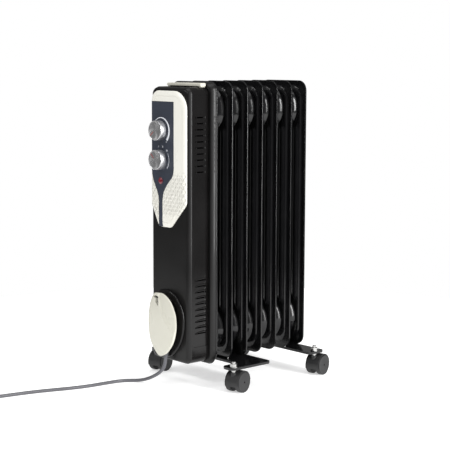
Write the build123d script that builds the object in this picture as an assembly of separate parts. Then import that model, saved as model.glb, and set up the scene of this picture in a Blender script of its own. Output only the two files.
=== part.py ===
from build123d import *
import math
import os

# Oil filled radiator heater, in millimetres. +Z is up and the floor is Z = 0.
# The fins stand one behind another along Y; the control box is at the front, -Y.
# X = 0 is the plane of symmetry of the fin stack.

os.makedirs("parts", exist_ok=True)

# ---- driving dimensions -------------------------------------------------
FIN_COUNT = 7
FIN_PITCH = 42.5
FIN_WIDTH = 141.0
FIN_HEIGHT = 580.0
FIN_CORNER = 22.0
FIN_BOTTOM = 53.5          # gap between the floor and the fins, set by the casters
FIRST_FIN_Y = -91.0
SHEET = 1.0                # wall of the pressed fins

RIM_HALF = 1.2             # half thickness of the seam-welded rim
PANEL_HALF = 5.0
RIB_HALF = 9.0
RIM_SIDE = 10.5
RIM_END = 14.0
RIB_X = 46.0
RIB_WIDTH = 15.0
CHANNEL_WIDTH = 40.0
HUB_LOW = 60.0             # hub axes above the bottom of the fins
HUB_HIGH = 522.0
NECK_RADIUS = 30.0
BOSS_RADIUS = 46.0
DRUM_RADIUS = 43.0         # shoulder of the drum between a hub seat and the waist
DRUM_RISE = 15.0           # height of that shoulder above the fin's middle
BORE_RADIUS = 20.0

BOX_WIDTH = 119.0
BOX_HEIGHT = 568.0
BOX_BOTTOM = 55.0
BOX_CORNER = 16.0
BOX_WALL = 2.4
BOX_FRONT_Y = -159.0
BOX_SEAM_Y = -149.0        # joint line between the front moulding and the body
BOX_BACK_Y = -106.0
COLLAR_BACK_Y = -93.4
COLLAR_BOTTOM = 48.0
VENT_ROWS = 10
VENT_STEP = 12.3
VENT_Z = 450.0             # lowest of the upper slots
LOUVRE_Z = 117.0           # lowest of the lower louvres
HANDLE_CUP_X = 44.0
HANDLE_CUP_Y = (-146.0, -109.0)
HANDLE_CUP_DEPTH = 17.0

CONTROL_X = -24.5          # common axis of the knobs, the lamp and the inlay's tail
THERMOSTAT_Z = 534.0
SELECTOR_Z = 474.0
LAMP_Z = 430.5
KNOB_RADIUS = 20.6
KNOB_DEPTH = 16.5
SHAFT_RADIUS = 3.0

WINDER_COVER_Y = (-184.0, -177.5)
WINDER_FLANGE_Y = -164.0
WINDER_Z = 141.0           # height of the winder's core
GLAND_X = 2.0
GLAND_Y = -171.0
GLAND_TOP_Z = 92.0

PLATE_THICKNESS = 2.0
PLATE_LIP = 5.0
PLATE_EDGE_X = 134.0
CASTER_X = 125.0
FRONT_CASTER_Y = -93.0
WHEEL_RADIUS = 21.5
HOOD_RADIUS = 24.0
HOOD_WIDTH = 32.0
WHEEL_WIDTH = 10.8
WEB_HALF = 6.2             # half width of the caster's body between its two wheels
CASTER_TRAIL = 14.0
AXLE_RADIUS = 2.0
CASTER_SWIVEL = 13.0       # degrees that all four casters are turned at rest
STEM_TOP = 65.0
HOOD_BOSS_TOP = 43.0

CORD_DIAMETER = 7.0
CORD_SECTION = math.pi * CORD_DIAMETER ** 2 / 4
CORD_REST_Z = 3.6          # the cord's centre when it lies on the floor
GLAND_END = (1.0, GLAND_Y, 68.5)
CORD_POINTS = [
    GLAND_END,
    (0.3, GLAND_Y, 52.0),
    (-7.0, -173.0, 36.5),
    (-24.0, -177.0, 23.0),
    (-46.0, -181.0, 12.0),
    (-68.0, -185.0, 5.0),
    (-85.5, -196.7, CORD_REST_Z),
    (-97.0, -214.5, CORD_REST_Z),
    (-101.5, -250.0, CORD_REST_Z),
    (-104.5, -290.0, CORD_REST_Z),
    (-114.0, -330.0, CORD_REST_Z),
    (-128.0, -368.0, CORD_REST_Z),
    (-140.0, -406.0, CORD_REST_Z),
    (-148.0, -444.0, CORD_REST_Z),
    (-155.0, -480.0, CORD_REST_Z),
    (-161.5, -514.0, CORD_REST_Z),
]
COIL_CENTRE = (-202.3, -506.2)
COIL_OUTER = 45.0
COIL_INNER = 31.0
COIL_HEIGHT = 15.0
PIN_RADIUS = 2.4
PIN_LENGTH = 19.0
PIN_SPACING = 19.0
PLUG_BODY = (36.0, 34.0, 24.0)

FIN_TOP = FIN_BOTTOM + FIN_HEIGHT
FIN_MIDDLE = FIN_BOTTOM + FIN_HEIGHT / 2
LOW_HUB_Z = FIN_BOTTOM + HUB_LOW
HIGH_HUB_Z = FIN_BOTTOM + HUB_HIGH
LAST_FIN_Y = FIRST_FIN_Y + FIN_PITCH * (FIN_COUNT - 1)
FRONT_PLATE_Y = FIRST_FIN_Y + FIN_PITCH * 1.5
REAR_PLATE_Y = FIRST_FIN_Y + FIN_PITCH * 5.5
BOX_MIDDLE_Z = BOX_BOTTOM + BOX_HEIGHT / 2
BOX_TOP = BOX_BOTTOM + BOX_HEIGHT
HOOD_TOP_Z = WHEEL_RADIUS + HOOD_RADIUS
INSERT_FRONT_Y = BOX_FRONT_Y - 3.0
CASTERS = {
    "front_right": (CASTER_X, FRONT_CASTER_Y),
    "front_left": (-CASTER_X, FRONT_CASTER_Y),
    "rear_right": (CASTER_X, REAR_PLATE_Y),
    "rear_left": (-CASTER_X, REAR_PLATE_Y),
}


# ---- helpers ------------------------------------------------------------
def write(name, shape):
    """Write one node, as a single solid or as a group of separate solids."""
    solids = shape if isinstance(shape, list) else shape.solids()
    node = solids[0] if len(solids) == 1 else Compound(children=list(solids))
    export_step(node, f"parts/{name}.step")


def facing_front(y):
    """A sketch plane at depth y: local x is +X, local y is +Z, the normal is -Y."""
    return Plane(origin=(0, y, 0), x_dir=(1, 0, 0), z_dir=(0, -1, 0))


def slab(sketch, front, back):
    """Extrude a front-view sketch between two depths."""
    return extrude(facing_front(back) * sketch, amount=back - front)


def tube_y(x, z, radius, front, back):
    return slab(Pos(x, z) * Circle(radius), front, back)


def tube_z(x, y, radius, low, high):
    return Pos(x, y, (low + high) / 2) * Cylinder(radius, high - low)


def block(x, y, z):
    """A box from three (low, high) pairs."""
    size = [pair[1] - pair[0] for pair in (x, y, z)]
    centre = [(pair[0] + pair[1]) / 2 for pair in (x, y, z)]
    return Pos(*centre) * Box(*size)


def stadium(width, height):
    return RectangleRounded(width, height, width / 2 - 0.01)


def turned_y(x, y, z, outline):
    """Revolve (radius, forward) points about an axis that points to the front."""
    profile = make_face(Plane.XY * Polyline(*outline, close=True))
    spun = revolve(profile, axis=Axis.Y)
    return Pos(x, y, z) * Rot(180, 0, 0) * spun


# ---- fins and hydraulic parts -------------------------------------------
def hub_seat(z, skin):
    """The round platform round a hub, level with the fin's ribs."""
    foot = BOSS_RADIUS - skin
    top = BOSS_RADIUS - 1.5 - skin
    height = RIB_HALF - skin
    return turned_y(0, 0, z, [(0, 0), (foot, 0), (foot, PANEL_HALF), (top, height), (0, height)])


def hub_dome(z, skin):
    """The closed end of the oil way, on the back of the last fin."""
    outline = [(0, 0), (36 - skin, 0), (36 - skin, RIB_HALF), (26 - skin, 13 - skin), (0, 13 - skin)]
    return mirror(turned_y(0, 0, z, outline), about=Plane.XZ)


def embossed(shape, height, draft):
    """A drafted form pressed outward from both faces of a fin."""
    front = extrude(facing_front(0) * shape, height, taper=draft)
    return front + mirror(front, about=Plane.XZ)


def relief(skin, last):
    """Everything that stands out of the fin's rim, shrunk inward by skin."""
    panel_width = FIN_WIDTH - 2 * RIM_SIDE - 2 * skin
    panel_height = FIN_HEIGHT - 2 * RIM_END - 2 * skin
    panel = RectangleRounded(panel_width, panel_height, 28 - skin)
    body = embossed(Pos(0, FIN_MIDDLE) * panel, PANEL_HALF - skin, 30)
    rib = stadium(RIB_WIDTH - 2 * skin + 3, 384)
    channel = stadium(CHANNEL_WIDTH - 2 * skin + 3, HUB_HIGH - HUB_LOW)
    hub_middle = FIN_BOTTOM + (HUB_LOW + HUB_HIGH) / 2
    for x, shape in ((-RIB_X, rib), (RIB_X, rib), (0, channel)):
        body += embossed(Pos(x, hub_middle) * shape, RIB_HALF - skin, 12)
    for z in (LOW_HUB_Z, HIGH_HUB_Z):
        seat = hub_seat(z, skin)
        body += seat + mirror(seat, about=Plane.XZ)
        if last:
            body += hub_dome(z, skin)
    return body


def fin(index):
    """A hollow pressing: welded rim, oil ribs and hub seats bored for the oil."""
    rim = slab(
        Pos(0, FIN_MIDDLE) * RectangleRounded(FIN_WIDTH, FIN_HEIGHT, FIN_CORNER),
        -RIM_HALF,
        RIM_HALF,
    )
    last = index == FIN_COUNT - 1
    body = rim + relief(0, last) - relief(SHEET, last)
    rear_end = 0 if last else RIB_HALF + 1
    for z in (LOW_HUB_Z, HIGH_HUB_Z):
        body -= tube_y(0, z, BORE_RADIUS, -RIB_HALF - 1, rear_end)
    return Pos(0, FIRST_FIN_Y + index * FIN_PITCH, 0) * body


def half_link(skin):
    """Solid of half a hub link, from a fin's seat forward to the waist, shrunk by skin."""
    reach = FIN_PITCH / 2 - RIB_HALF
    shoulder = DRUM_RISE - RIB_HALF
    outline = [
        (BOSS_RADIUS - 2.0, 0),
        (DRUM_RADIUS, shoulder),
        (NECK_RADIUS + 2.5, shoulder + 1.5),
        (NECK_RADIUS, shoulder + 3.0),
    ]
    outline = [(radius - skin, max(height - skin, skin)) for radius, height in outline]
    outline += [(NECK_RADIUS - skin, reach - skin), (0, reach - skin), (0, skin)]
    return turned_y(0, 0, 0, outline)


def hub_links():
    """The hollow drums with a welded waist that join the hubs of neighbouring fins."""
    bore = tube_y(0, 0, BORE_RADIUS, -FIN_PITCH, FIN_PITCH)
    half = half_link(0) - half_link(SHEET) - bore
    links = []
    for z in (LOW_HUB_Z, HIGH_HUB_Z):
        for index in range(FIN_COUNT):
            y = FIRST_FIN_Y + index * FIN_PITCH - RIB_HALF
            link = Pos(0, y, z) * half
            if index > 0:
                far_seat = y - FIN_PITCH + 2 * RIB_HALF
                link += Pos(0, far_seat, z) * mirror(half, about=Plane.XZ)
            links.append(link.solid())
    return links


def build_fins():
    for index in range(FIN_COUNT):
        write(f"fin_{index + 1}", fin(index))
    write("hub_links", hub_links())


def build_hydraulics():
    """Heating element in the lower hubs, its flange, and the oil filler plug."""
    hub_face = FIRST_FIN_Y - FIN_PITCH / 2
    flange = tube_y(0, LOW_HUB_Z, 27, hub_face - 4, hub_face)
    hexagon = RegularPolygon(18, 6)
    flange += slab(Pos(0, LOW_HUB_Z) * hexagon, hub_face - 9, hub_face - 4)
    element_rear = LAST_FIN_Y - 18
    bend_radius = 6.5
    hairpins = []
    for side in (-1, 1):
        z_low = LOW_HUB_Z + side * 8.2 - bend_radius
        z_high = z_low + 2 * bend_radius
        x = side * 6.0
        path = Line((x, hub_face - 14, z_low), (x, element_rear, z_low))
        path += ThreePointArc(
            (x, element_rear, z_low),
            (x, element_rear + bend_radius, z_low + bend_radius),
            (x, element_rear, z_high),
        )
        path += Line((x, element_rear, z_high), (x, hub_face - 14, z_high))
        ring = Plane(origin=(x, hub_face - 14, z_low), z_dir=(0, 1, 0)) * Circle(3.5)
        hairpin = sweep(ring, path=path)
        hairpins.append(hairpin.solid())
        for z in (z_low, z_high):
            flange -= tube_y(x, z, 3.5, hub_face - 20, hub_face + 1)
    write("element_flange", flange)
    write("heating_element", hairpins)
    plug = tube_y(0, HIGH_HUB_Z, 26, hub_face - 3, hub_face)
    plug += slab(Pos(0, HIGH_HUB_Z) * RegularPolygon(11, 6), hub_face - 10, hub_face - 3)
    write("oil_filler_plug", plug)


# ---- control box --------------------------------------------------------
def box_outline(inset):
    return RectangleRounded(
        BOX_WIDTH - 2 * inset, BOX_HEIGHT - 2 * inset, BOX_CORNER - inset
    )


def box_solid(inset, front, back):
    return slab(Pos(0, BOX_MIDDLE_Z) * box_outline(inset), front, back)


def build_housing():
    """Front moulding, body with louvred side panels, bottom cover and rear collar."""
    front = box_solid(0, BOX_FRONT_Y, BOX_SEAM_Y)
    front = fillet(front.edges().group_by(Axis.Y)[0], 8)
    front -= box_solid(BOX_WALL, BOX_FRONT_Y + BOX_WALL, BOX_SEAM_Y + 1)
    for z in (THERMOSTAT_Z, SELECTOR_Z):
        front -= tube_y(CONTROL_X, z, 5, BOX_FRONT_Y - 1, BOX_SEAM_Y)
    front -= tube_y(CONTROL_X, LAMP_Z, 6, BOX_FRONT_Y - 1, BOX_SEAM_Y)
    front -= tube_y(GLAND_X, GLAND_TOP_Z, 5, BOX_FRONT_Y - 1, BOX_SEAM_Y)
    write("housing_front", front)

    body = box_solid(0, BOX_SEAM_Y, BOX_BACK_Y)
    body -= box_solid(BOX_WALL, BOX_SEAM_Y - 1, BOX_BACK_Y + 1)
    panel_y = (BOX_SEAM_Y + 4, BOX_BACK_Y - 1)
    panel_z = (90.5, 608.5)
    slot_y = (BOX_SEAM_Y + 9, BOX_BACK_Y - 5)
    for side in (-1, 1):
        outer = side * (BOX_WIDTH / 2 + 1)
        pocket = sorted((outer, side * (BOX_WIDTH / 2 - 1.2)))
        body -= block(pocket, panel_y, panel_z)
        through = sorted((outer, side * (BOX_WIDTH / 2 - BOX_WALL - 1)))
        for row in range(VENT_ROWS):
            for start in (LOUVRE_Z, VENT_Z):
                z = start + row * VENT_STEP
                body -= block(through, slot_y, (z, z + 2.6))
    body -= block(
        (-HANDLE_CUP_X, HANDLE_CUP_X), HANDLE_CUP_Y, (BOX_TOP - 5, BOX_TOP + 1)
    )
    body -= block((-46, 46), (-144, -110), (BOX_BOTTOM - 1, BOX_BOTTOM + 5))
    write("housing_body", body)

    cover = block((-46, 46), (-144, -110), (BOX_BOTTOM, BOX_BOTTOM + BOX_WALL))
    write("bottom_cover", cover)

    height = FIN_TOP - COLLAR_BOTTOM
    middle = COLLAR_BOTTOM + height / 2
    outline = RectangleRounded(FIN_WIDTH, height, FIN_CORNER)
    collar = slab(Pos(0, middle) * outline, BOX_BACK_Y, COLLAR_BACK_Y)
    hollow = RectangleRounded(FIN_WIDTH - 3, height - 3, FIN_CORNER - 1.5)
    collar -= slab(Pos(0, middle) * hollow, BOX_BACK_Y + 1.5, COLLAR_BACK_Y + 1)
    collar -= box_solid(3, BOX_BACK_Y - 1, COLLAR_BACK_Y)
    for side in (-1, 1):
        through = sorted((side * (FIN_WIDTH / 2 - 3), side * (FIN_WIDTH / 2 + 1)))
        for row in range(VENT_ROWS):
            z = VENT_Z + row * VENT_STEP
            collar -= block(through, (-99, -96.5), (z, z + 4))
    write("rear_collar", collar)


def build_handle():
    """A grip strap over a finger cup that is let into the top of the box."""
    cup = block(
        (-HANDLE_CUP_X, HANDLE_CUP_X),
        HANDLE_CUP_Y,
        (BOX_TOP - HANDLE_CUP_DEPTH, BOX_TOP),
    )
    wall = 2.0
    cup -= block(
        (-HANDLE_CUP_X + wall, HANDLE_CUP_X - wall),
        (HANDLE_CUP_Y[0] + wall, HANDLE_CUP_Y[1] - wall),
        (BOX_TOP - HANDLE_CUP_DEPTH + wall, BOX_TOP + 1),
    )
    write("handle_cup", cup)
    strap = block((-53, 53), (-122, -107.5), (BOX_TOP + 1.5, BOX_TOP + 8))
    strap = fillet(strap.edges().filter_by(Axis.Z), 3)
    strap = fillet(strap.edges().group_by(Axis.Z)[-1], 2)
    for side in (-1, 1):
        foot = block(sorted((side * 46, side * 52)), (-120, -109), (BOX_TOP, BOX_TOP + 2))
        strap += foot
    write("handle", strap)


# ---- control panel ------------------------------------------------------
def bezel_face():
    """Bezel outline: big rounded shoulders, straight sides and a chamfered foot."""
    left, right, top, bottom = -55.5, 55.0, 615.0, 335.0
    shoulder_left, shoulder_right = 22.0, 38.0
    outline = Line((left, 371), (left, top - shoulder_left))
    outline += RadiusArc(
        (left, top - shoulder_left), (left + shoulder_left, top), shoulder_left
    )
    outline += Line((left + shoulder_left, top), (right - shoulder_right, top))
    outline += RadiusArc(
        (right - shoulder_right, top), (right, top - shoulder_right), shoulder_right
    )
    outline += Line((right, top - shoulder_right), (right, 386))
    outline += Line((right, 386), (7, bottom))
    outline += Line((7, bottom), (-29, bottom))
    outline += Line((-29, bottom), (left, 371))
    return make_face(outline)


def insert_face(gap=0.0):
    """Inlay outline: a wide field that flows by two bends into a narrow tail."""
    left, right, top, bottom = -53.5 - gap, 17.5 + gap, 593.0 + gap, 336.0
    tail_left, tail_right = CONTROL_X - 6.5 - gap, CONTROL_X + 6.0 + gap
    outline = Line((left, 449), (left, top))
    outline += Line((left, top), (right, top))
    outline += Line((right, top), (right, 455))
    outline += Spline(
        (right, 455), (CONTROL_X + 22, 422), (tail_right, 388),
        tangents=((0, -1), (0, -1)),
    )
    outline += Line((tail_right, 388), (tail_right, bottom))
    outline += Line((tail_right, bottom), (tail_left, bottom))
    outline += Line((tail_left, bottom), (tail_left, 392))
    outline += Spline(
        (tail_left, 392), (CONTROL_X - 18.5, 420), (left, 449),
        tangents=((0, 1), (0, 1)),
    )
    return make_face(outline)


def build_control_panel():
    """Cream bezel, dark inlay and signal lens, stacked on the front moulding."""
    bezel_front = BOX_FRONT_Y - 4.0
    bezel = slab(bezel_face(), bezel_front, BOX_FRONT_Y)
    bezel = fillet(bezel.edges().group_by(Axis.Y)[0], 2.0)
    bezel -= slab(insert_face(0.2), bezel_front - 1, BOX_FRONT_Y - 1.5)
    for z in (THERMOSTAT_Z, SELECTOR_Z):
        bezel -= tube_y(CONTROL_X, z, 5, bezel_front - 1, BOX_FRONT_Y + 1)
    bezel -= tube_y(CONTROL_X, LAMP_Z, 6, bezel_front - 1, BOX_FRONT_Y + 1)
    write("control_bezel", bezel)
    insert = slab(insert_face(), INSERT_FRONT_Y, BOX_FRONT_Y - 1.5)
    for z in (THERMOSTAT_Z, SELECTOR_Z):
        insert -= tube_y(CONTROL_X, z, 5, INSERT_FRONT_Y - 1, BOX_FRONT_Y)
    insert -= tube_y(CONTROL_X, LAMP_Z, 6, INSERT_FRONT_Y - 1, BOX_FRONT_Y)
    write("control_insert", insert)
    lens = tube_y(CONTROL_X, LAMP_Z, 5.9, INSERT_FRONT_Y, BOX_FRONT_Y + 6)
    lens += tube_y(CONTROL_X, LAMP_Z, 6.8, INSERT_FRONT_Y - 1.8, INSERT_FRONT_Y)
    lens = fillet(lens.edges().group_by(Axis.Y)[0], 1.2)
    lens -= tube_y(CONTROL_X, LAMP_Z, 4.6, INSERT_FRONT_Y + 1, BOX_FRONT_Y + 7)
    write("indicator_lens", lens)
    lamp = tube_y(CONTROL_X, LAMP_Z, 3, BOX_FRONT_Y + 1, BOX_FRONT_Y + 16)
    write("neon_lamp", lamp)


def build_controls():
    """Thermostat and power selector behind the panel, with shafts, knobs and caps."""
    switch_front = BOX_FRONT_Y + BOX_WALL
    sizes = {"thermostat": (THERMOSTAT_Z, 34, 22), "selector": (SELECTOR_Z, 30, 20)}
    units = {"thermostat": "thermostat_unit", "selector": "selector_switch"}
    for name, (z, width, depth) in sizes.items():
        half = width / 2
        unit = block(
            (CONTROL_X - half, CONTROL_X + half),
            (switch_front, switch_front + depth),
            (z - half, z + half),
        )
        unit -= tube_y(CONTROL_X, z, SHAFT_RADIUS + 0.05, BOX_FRONT_Y - 9, switch_front + 14)
        write(units[name], unit)

        face_y = INSERT_FRONT_Y - 0.4 - KNOB_DEPTH
        shaft = tube_y(CONTROL_X, z, SHAFT_RADIUS, face_y + 4, switch_front + 13)
        write(f"{name}_shaft", shaft)

        knob = tube_y(CONTROL_X, z, KNOB_RADIUS, face_y + 1, INSERT_FRONT_Y - 0.4)
        knob -= tube_y(CONTROL_X, z, KNOB_RADIUS - 2, face_y + 7, INSERT_FRONT_Y)
        knob += tube_y(CONTROL_X, z, SHAFT_RADIUS + 3, face_y + 3, INSERT_FRONT_Y - 1)
        knob -= tube_y(CONTROL_X, z, SHAFT_RADIUS, face_y + 4, INSERT_FRONT_Y + 1)
        write(f"{name}_knob", knob)

        cap = tube_y(CONTROL_X, z, KNOB_RADIUS - 0.3, face_y, face_y + 1)
        cap = fillet(cap.edges().group_by(Axis.Y)[0], 0.5)
        write(f"{name}_knob_cap", cap)


def build_electrics():
    """Overheat cut-out, terminal block and the wires between the parts."""
    cutout = tube_y(0, 330, 8.5, -128, -120)
    cutout += block((-12, 12), (-120, -118), (324, 336))
    write("thermal_cutout", cutout)
    terminals = block((-22, 22), (-150, -136), (190, 206))
    for index in range(3):
        x = -14 + 14 * index
        terminals -= tube_z(x, -143, 2.6, 196, 207)
    write("terminal_block", terminals)
    wires = []
    runs = (
        (-14, (-14, -132, 214), (-30, -130, 300), CONTROL_X - 8, 452),
        (0, (0, -132, 216), (20, -130, 300), CONTROL_X + 24, 512),
        (14, (14, -132, 214), (30, -130, 260), 10, 342),
    )
    for start_x, first, second, end_x, end_z in runs:
        points = [(start_x, -143, 198), (start_x, -141, 208), first, second]
        points += [(end_x, -130, end_z - 20), (end_x, -131, end_z)]
        path = Spline(*points)
        ring = Plane(origin=path @ 0, z_dir=path % 0) * Circle(1.4)
        wires.append(sweep(ring, path=path).solid())
    write("internal_wiring", wires)


# ---- cord winder --------------------------------------------------------
def winder_face(growth):
    """Leaf outline of the winder cover, grown all round."""
    outline = Line((-25, 198.5), (1, 199.5))
    outline += ThreePointArc((1, 199.5), (27, 184.0), (42.5, 153.5))
    outline += ThreePointArc((42.5, 153.5), (33.5, 99.5), (-8, 67.0))
    outline += ThreePointArc((-8, 67.0), (-34.0, 89.5), (-44.5, 135.5))
    outline += ThreePointArc((-44.5, 135.5), (-39.5, 174.5), (-25, 198.5))
    face = make_face(outline)
    face = fillet(face.vertices().sort_by(Axis.Y)[0], 12).face()
    if growth == 0:
        return face
    return Face(offset(face.outer_wire(), growth, kind=Kind.ARC).wire())


def build_winder():
    """Two flanges on a core: the cord is wound between the base and the cover."""
    base = slab(winder_face(5), WINDER_FLANGE_Y, BOX_FRONT_Y)
    core = Pos(0, WINDER_Z) * Ellipse(24, 40)
    base += slab(core, WINDER_COVER_Y[1], WINDER_FLANGE_Y)
    base -= slab(Pos(0, WINDER_Z) * Ellipse(21, 37), WINDER_COVER_Y[1] + 2.5, BOX_FRONT_Y + 1)
    base -= tube_y(GLAND_X, GLAND_TOP_Z, 5, WINDER_FLANGE_Y - 1, BOX_FRONT_Y + 1)
    write("cord_winder_base", base)
    cover = slab(winder_face(0), WINDER_COVER_Y[0] + 2, WINDER_COVER_Y[1])
    cover += slab(winder_face(-2), WINDER_COVER_Y[0], WINDER_COVER_Y[0] + 2)
    hook = Polyline(
        (-26, 192.5), (-9.5, 191.5), (-9.5, 173), (-19, 180), (-19, 188.5), (-26, 189.5),
        close=True,
    )
    cover -= slab(make_face(hook), WINDER_COVER_Y[0] - 1, WINDER_COVER_Y[1] + 1)
    write("cord_winder_cover", cover)


# ---- cord ---------------------------------------------------------------
def corner_radii(points):
    """Arc radius at each inner point, and the turn there in degrees."""
    radii = []
    for before, here, after in zip(points, points[1:], points[2:]):
        arriving = Vector(*here) - Vector(*before)
        leaving = Vector(*after) - Vector(*here)
        turn = arriving.get_angle(leaving)
        shorter = min(arriving.length, leaving.length)
        radii.append((0.45 * shorter / math.tan(math.radians(turn) / 2), turn))
    return radii


def build_cord():
    """Strain relief, free lead, wound coil, and the round-pin plug beside it."""
    top = (GLAND_X, GLAND_Y, GLAND_TOP_Z)
    relief_axis = Vector(*GLAND_END) - Vector(*top)
    sleeve_plane = Plane(origin=top, z_dir=relief_axis)
    length = relief_axis.length
    sleeve = sleeve_plane * Pos(0, 0, length / 2) * Cone(6.0, 4.4, length)
    gland = sleeve + Pos(*top) * Box(16, 12, 12)
    gland += tube_y(GLAND_X, GLAND_TOP_Z, 4.8, GLAND_Y, -150)
    write("cord_gland", gland)

    radii = corner_radii(CORD_POINTS)
    path = FilletPolyline(*CORD_POINTS, radius=[radius for radius, _ in radii])
    ring = Plane(origin=path @ 0, z_dir=path % 0) * Circle(CORD_DIAMETER / 2)
    lead = sweep(ring, path=path)
    write("power_cord", lead)
    print("cord radii", [f"{radius:.0f} ({turn:.0f} deg)" for radius, turn in radii])
    print("lead length", round(path.length), "volume ratio",
          round(lead.volume / (CORD_SECTION * path.length), 3))

    coil = Pos(*COIL_CENTRE, COIL_HEIGHT / 2 + 0.1) * (
        Cylinder(COIL_OUTER, COIL_HEIGHT) - Cylinder(COIL_INNER, COIL_HEIGHT)
    )
    coil = fillet(coil.edges(), 3)
    write("cord_coil", coil)


def build_plug():
    """Round-pin mains plug that lies across the middle of the coil."""
    centre_x, centre_y = COIL_CENTRE
    middle = COIL_HEIGHT + 0.2 + PLUG_BODY[2] / 2
    body = Pos(centre_x, centre_y, middle) * Box(*PLUG_BODY)
    body = fillet(body.edges().filter_by(Axis.Z), 8)
    sleeve = Rot(-90, 0, 0) * Cone(8, 5, 18)
    body += Pos(centre_x, centre_y + PLUG_BODY[1] / 2 + 8, middle) * sleeve
    write("plug_body", body)
    pins = []
    face_y = centre_y - PLUG_BODY[1] / 2
    for side in (-1, 1):
        x = centre_x + side * PIN_SPACING / 2
        pin = tube_y(x, middle, PIN_RADIUS, face_y - PIN_LENGTH, face_y)
        pins.append(pin.solid())
    write("plug_pins", pins)


# ---- feet ---------------------------------------------------------------
def front_plate_outline(inset):
    """Wide cross plate with a lobe that reaches forward to each caster."""
    y_low = FRONT_PLATE_Y - 33.5 + inset
    y_high = FRONT_PLATE_Y + 33.5 - inset
    edge = PLATE_EDGE_X - inset
    plate = Pos(0, (y_low + y_high) / 2) * RectangleRounded(
        2 * edge, y_high - y_low, 12 - inset
    )
    for side in (-1, 1):
        lobe_x = side * (edge + 100 + inset) / 2
        lobe_y = (FRONT_CASTER_Y - 12 + inset + y_high) / 2
        lobe = RectangleRounded(
            edge - 100 - inset, y_high - (FRONT_CASTER_Y - 12 + inset), 11 - inset
        )
        plate += Pos(lobe_x, lobe_y) * lobe
    return plate


def rear_plate_outline(inset):
    return Pos(0, REAR_PLATE_Y) * RectangleRounded(
        2 * (PLATE_EDGE_X - inset), 46 - 2 * inset, 10 - inset
    )


def foot_plate(outline, plate_y, caster_y):
    """Pressed cross plate: flat top against the fins and a turned-down lip."""
    top = FIN_BOTTOM
    plate = extrude(Pos(0, 0, top - PLATE_LIP) * outline(0), PLATE_LIP)
    plate -= extrude(
        Pos(0, 0, top - PLATE_LIP - 1) * outline(PLATE_THICKNESS),
        PLATE_LIP - PLATE_THICKNESS + 1,
    )
    for side in (-1, 1):
        plate -= tube_z(side * CASTER_X, caster_y, 4.2, top - 3, top + 1)
        plate -= tube_z(side * 33.2, plate_y, 3.3, top - 3, top + 1)
    return plate


def build_feet():
    write("front_foot_plate", foot_plate(front_plate_outline, FRONT_PLATE_Y, FRONT_CASTER_Y))
    write("rear_foot_plate", foot_plate(rear_plate_outline, REAR_PLATE_Y, REAR_PLATE_Y))
    bolts = []
    nuts = []
    bend = NECK_RADIUS + 3.2
    for y in (FRONT_PLATE_Y, REAR_PLATE_Y):
        low = FIN_BOTTOM - 9
        path = Line((-bend, y, low), (-bend, y, LOW_HUB_Z))
        path += ThreePointArc(
            (-bend, y, LOW_HUB_Z), (0, y, LOW_HUB_Z + bend), (bend, y, LOW_HUB_Z)
        )
        path += Line((bend, y, LOW_HUB_Z), (bend, y, low))
        ring = Plane(origin=(-bend, y, low), z_dir=(0, 0, 1)) * Circle(2.9)
        bolts.append(sweep(ring, path=path).solid())
        for x in (-bend, bend):
            nut = tube_z(x, y, 6, FIN_BOTTOM - 8, FIN_BOTTOM - 2)
            nut += block((x - 13, x + 13), (y - 1.2, y + 1.2), (FIN_BOTTOM - 12, FIN_BOTTOM - 5))
            nut -= tube_z(x, y, 2.9, FIN_BOTTOM - 13, FIN_BOTTOM)
            nuts.append(nut.solid())
    write("u_bolts", bolts)
    write("wing_nuts", nuts)


# ---- casters ------------------------------------------------------------
def build_caster_fasteners():
    """Stems that stay in the plates, their dome nuts above and collars below."""
    stems, nuts, washers = [], [], []
    for x, y in CASTERS.values():
        stem = tube_z(x, y, 4.0, HOOD_BOSS_TOP - 14, STEM_TOP)
        stem += Pos(x, y, FIN_BOTTOM - 4.5) * extrude(RegularPolygon(6.6, 6), 2.5)
        stem += tube_z(x, y, 6.0, HOOD_TOP_Z + 0.8, FIN_BOTTOM - 4.5)
        stems.append(stem.solid())
        washer = tube_z(x, y, 8.2, FIN_BOTTOM, FIN_BOTTOM + 1.4)
        washer -= tube_z(x, y, 4.0, FIN_BOTTOM - 1, FIN_BOTTOM + 2)
        washers.append(washer.solid())
        low = FIN_BOTTOM + 1.4
        nut = Pos(x, y, low) * extrude(RegularPolygon(7.5, 6), 6)
        nut += Pos(x, y, low + 5) * Sphere(6.4, arc_size1=0)
        nut -= tube_z(x, y, 4.0, low - 1, STEM_TOP)
        nuts.append(nut.solid())
    write("caster_stems", stems)
    write("caster_nuts", nuts)
    write("caster_washers", washers)


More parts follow.
